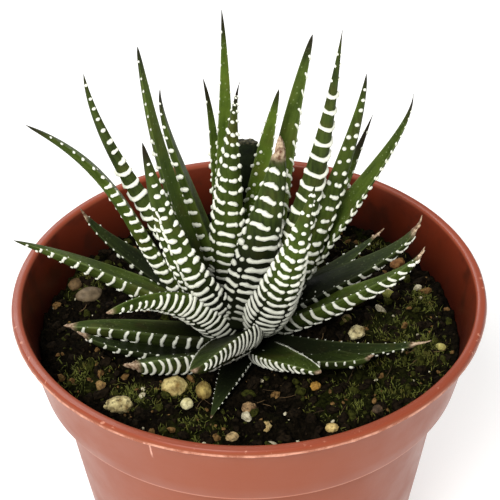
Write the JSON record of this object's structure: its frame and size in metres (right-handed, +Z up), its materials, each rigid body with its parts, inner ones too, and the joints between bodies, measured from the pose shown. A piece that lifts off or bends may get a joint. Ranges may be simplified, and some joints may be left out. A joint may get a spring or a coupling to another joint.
{
  "type": "potted haworthia",
  "caption": "Rosette of stiff pointed succulent leaves with raised white bands, growing in soil in a round tapered nursery pot with a collar and a rolled rim.",
  "frame": {"origin": "the middle of the pot's flat underside, where the pot's axis meets the surface it stands on", "axes": "+Z up along the pot's axis; -Y is the side with the two widest banded leaves and the bare soil in front, +X is to the right when the plant is seen from -Y"},
  "size_m": [0.105, 0.105, 0.1548],
  "materials": {
    "pot_plastic": "satin moulded polypropylene, terracotta coloured, scuffed along the rim",
    "soil": "moist peat and bark potting mix with moss and pale crumbs",
    "leaf": "satin waxy skin, dark green with raised white bands and purple-black or dried tips",
    "stem": "short dull fibrous stem, hidden by the leaf bases",
    "stub": "dull, nearly black dried stalk",
    "stone": "rough tan, taupe and pale grit"
  },
  "bodies": {
    "root": {"pot": "pot_plastic", "soil": "soil", "stem": "stem", "cut_stub": "stub", "leaf_centre_left": "leaf", "leaf_centre_dry_tip": "leaf", "leaf_centre_sliver": "leaf", "leaf_centre_pale": "leaf", "leaf_back_tall": "leaf", "leaf_back_right": "leaf", "leaf_back_narrow": "leaf", "leaf_left_tall": "leaf", "leaf_left_inner": "leaf", "leaf_right_tall": "leaf", "leaf_right_mid": "leaf", "leaf_left_striped": "leaf", "leaf_front_left": "leaf", "leaf_front_right": "leaf", "leaf_right_hidden_tip": "leaf", "leaf_right_curved": "leaf", "leaf_left_spreading": "leaf", "leaf_left_low": "leaf", "leaf_left_back": "leaf", "leaf_left_curled": "leaf", "leaf_left_dry": "leaf", "leaf_left_under": "leaf", "leaf_front_left_dry": "leaf", "leaf_front_short": "leaf", "leaf_front_fallen": "leaf", "leaf_front_centre": "leaf", "leaf_front_right_low": "leaf", "leaf_right_grey": "leaf", "leaf_right_dry_tip": "leaf", "leaf_right_upper": "leaf", "leaf_right_small": "leaf", "leaf_back_low_left": "leaf", "leaf_back_low": "leaf", "leaf_back_low_right": "leaf", "stone_01": "stone", "stone_02": "stone", "stone_03": "stone", "stone_04": "stone", "stone_05": "stone", "stone_06": "stone", "stone_07": "stone", "stone_08": "stone", "stone_09": "stone", "stone_10": "stone", "stone_11": "stone", "stone_12": "stone", "stone_13": "stone", "stone_14": "stone", "stone_15": "stone", "stone_16": "stone", "stone_17": "stone", "stone_18": "stone", "stone_19": "stone"}
  },
  "joints": []
}
